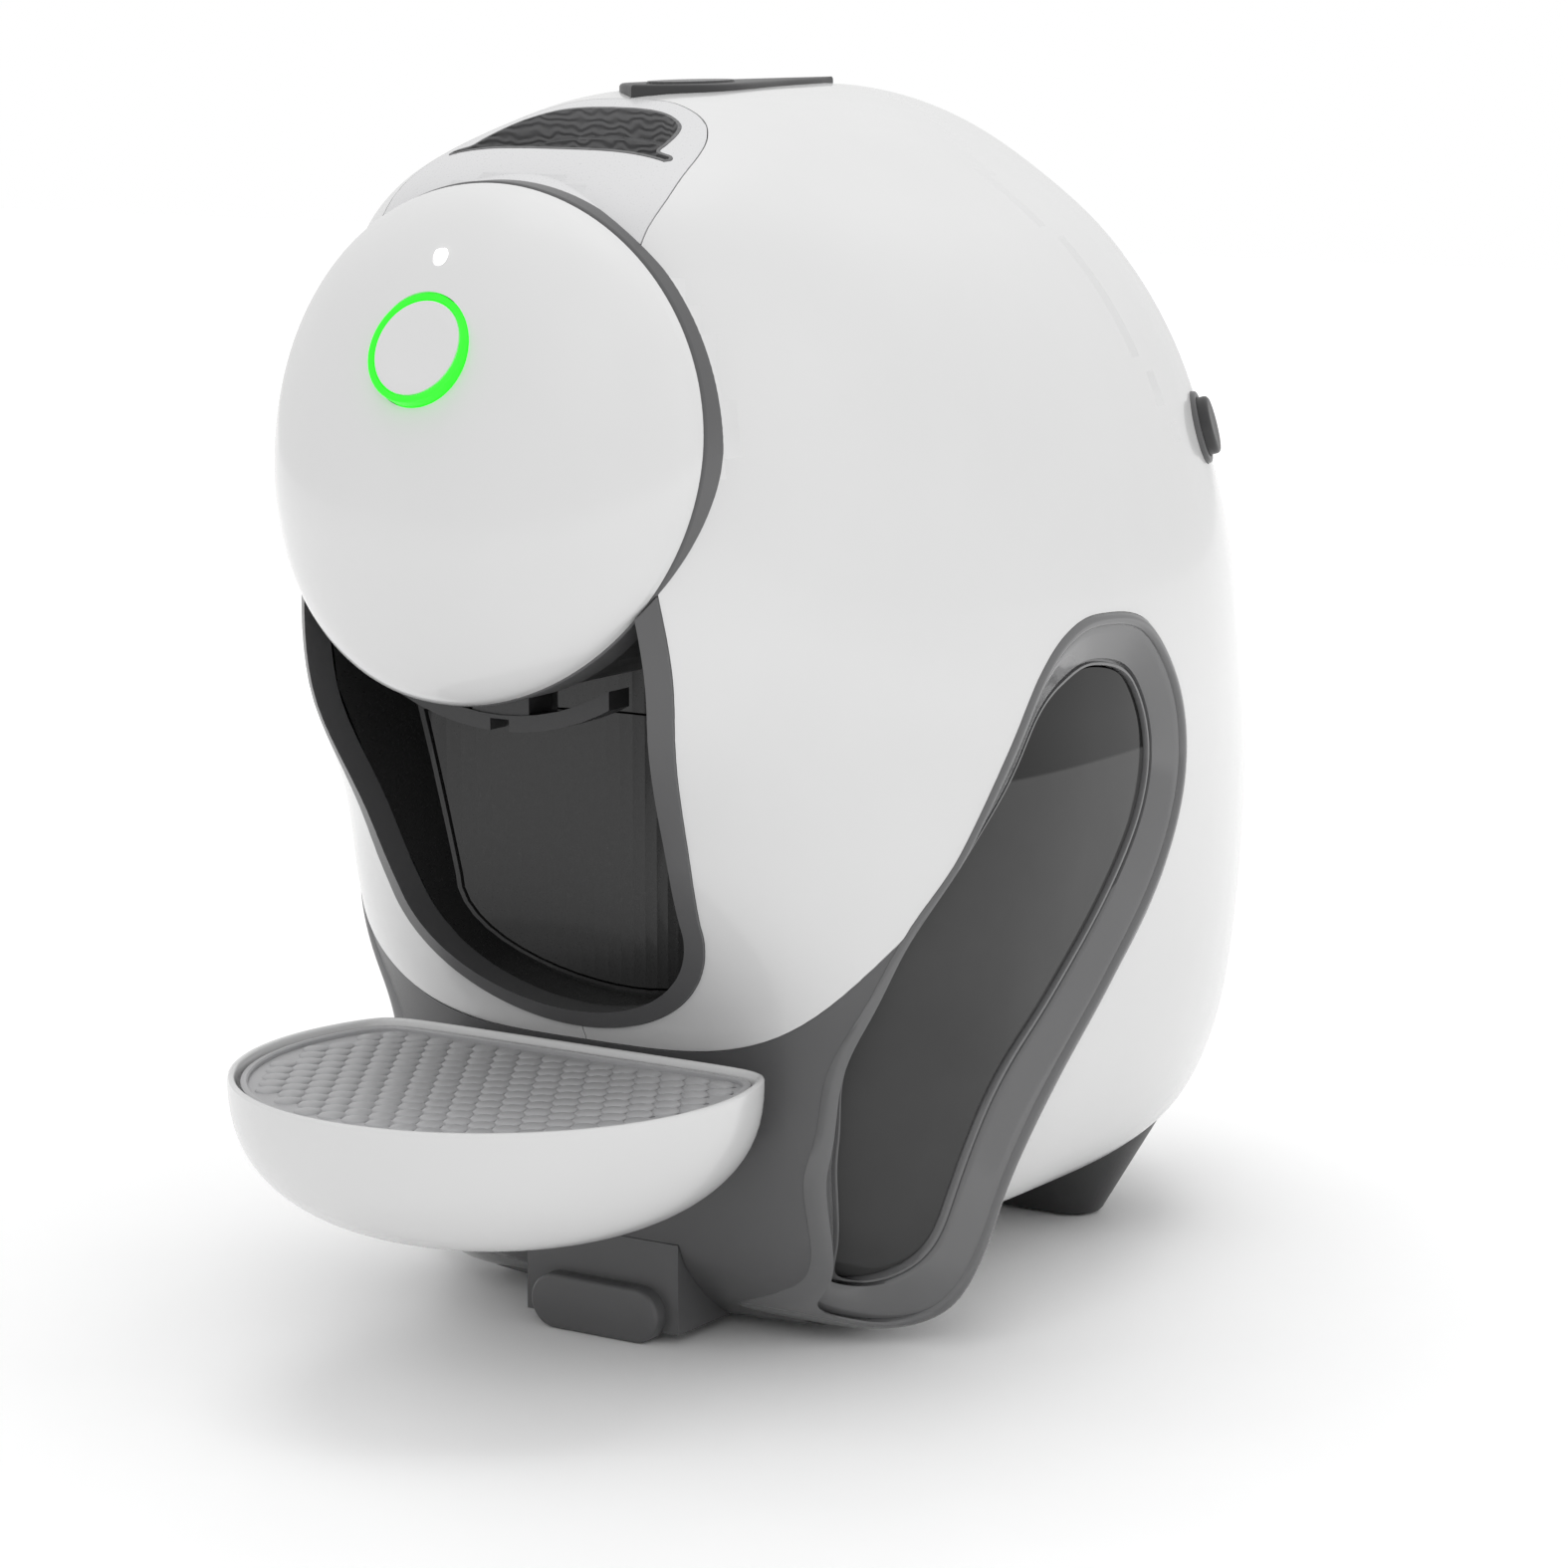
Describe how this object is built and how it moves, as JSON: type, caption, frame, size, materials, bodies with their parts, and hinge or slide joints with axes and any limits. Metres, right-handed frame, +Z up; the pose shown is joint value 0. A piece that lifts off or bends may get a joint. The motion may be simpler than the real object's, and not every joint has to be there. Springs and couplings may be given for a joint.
{
  "type": "pod coffee machine",
  "caption": "Compact egg-shaped pod coffee machine with a round front cover, an open cup bay, a round drip tray and a removable side water tank.",
  "frame": {"origin": "middle of the bounding box on the plane the feet stand on", "axes": "-Y is the front with the cover and tray, +X is the side with the water tank, +Z is up"},
  "size_m": [0.2126, 0.3825, 0.336],
  "materials": {
    "white_gloss": "gloss",
    "pale_satin": "satin",
    "grey_satin": "satin",
    "dark_satin": "satin",
    "black_gloss": "gloss",
    "grid_grey": "satin",
    "light_green": "gloss",
    "light_white": "gloss",
    "smoked_clear": "gloss",
    "inner_plastic": "matt",
    "steel": "brushed",
    "brass": "satin",
    "rubber": "matt",
    "board": "matt"
  },
  "bodies": {
    "machine": {"side_shell_right": "white_gloss", "side_shell_left": "white_gloss", "top_panel": "pale_satin", "slot_liner": "dark_satin", "face_ring": "grey_satin", "front_cover": "white_gloss", "light_ring": "light_green", "status_light": "light_white", "bay_trim": "grey_satin", "bay_liner": "black_gloss", "outlet_housing": "dark_satin", "coffee_outlet": "inner_plastic", "base_housing": "grey_satin", "base_plate": "dark_satin", "front_foot": "grey_satin", "rear_foot": "dark_satin", "foot_pads": "rubber", "tank_bezel": "grey_satin", "cover_bezel": "grey_satin", "side_cover": "dark_satin", "tank_dock": "inner_plastic", "dock_seal": "rubber", "top_pad": "dark_satin", "power_collar": "grey_satin", "pod_chute": "inner_plastic", "chassis": "inner_plastic", "brew_chamber": "inner_plastic", "needle_plate": "steel", "clamp_guides": "steel", "clamp_motor": "steel", "pump": "steel", "pump_mounts": "rubber", "heater": "steel", "flow_meter": "inner_plastic", "relief_valve": "brass", "water_hoses": "rubber", "control_board": "board", "power_board": "board", "mains_inlet": "inner_plastic", "button_switches": "inner_plastic", "case_screws": "steel"},
    "brew_button": {"brew_button": "white_gloss"},
    "top_button": {"top_button": "grey_satin"},
    "power_button": {"power_button": "dark_satin"},
    "tray": {"drip_tray": "white_gloss", "tray_bracket": "dark_satin"},
    "grid": {"drip_grid": "grid_grey"},
    "tank": {"water_tank": "smoked_clear", "tank_valve": "inner_plastic"},
    "lid": {"tank_lid": "dark_satin"},
    "bin": {"pod_bin": "black_gloss"},
    "jaw": {"clamp_jaw": "inner_plastic"},
    "pinion": {"drive_pinion": "inner_plastic"}
  },
  "joints": [
    {"name": "brew_button_press", "type": "slide", "parent": "machine", "child": "brew_button", "axis": [0, 0.9026, -0.4305], "range_m": [0, 0.0012], "stiffness_N_per_m": 500},
    {"name": "top_button_press", "type": "slide", "parent": "machine", "child": "top_button", "axis": [0, 0, -1], "range_m": [0, 0.0008], "stiffness_N_per_m": 900, "springref_m": -0.0003},
    {"name": "power_button_press", "type": "slide", "parent": "machine", "child": "power_button", "axis": [-0.8891, -0.3774, -0.2588], "range_m": [0, 0.0015], "stiffness_N_per_m": 500},
    {"name": "tray_slide", "type": "slide", "parent": "machine", "child": "tray", "axis": [0, -1, 0], "range_m": [0, 0.08]},
    {"name": "grid_lift", "type": "slide", "parent": "tray", "child": "grid", "axis": [0, 0, 1], "range_m": [0, 0.012]},
    {"name": "tank_slide", "type": "slide", "parent": "machine", "child": "tank", "axis": [1, 0, 0], "range_m": [0, 0.06]},
    {"name": "lid_lift", "type": "slide", "parent": "tank", "child": "lid", "axis": [0, 0, 1], "range_m": [0, 0.008]},
    {"name": "bin_slide", "type": "slide", "parent": "machine", "child": "bin", "axis": [0, -1, 0], "range_m": [0, 0.075]},
    {"name": "clamp_slide", "type": "slide", "parent": "machine", "child": "jaw", "axis": [0, -1, 0], "range_m": [0, 0.016]},
    {"name": "pinion_spin", "type": "hinge", "parent": "machine", "child": "pinion", "pos_m": [0, -0.022, 0.24], "axis": [1, 0, 0], "range_deg": [0, 155]}
  ],
  "couplings": [
    {"joint": "pinion_spin", "follows": "clamp_slide", "rad_per_m": 166.67}
  ]
}
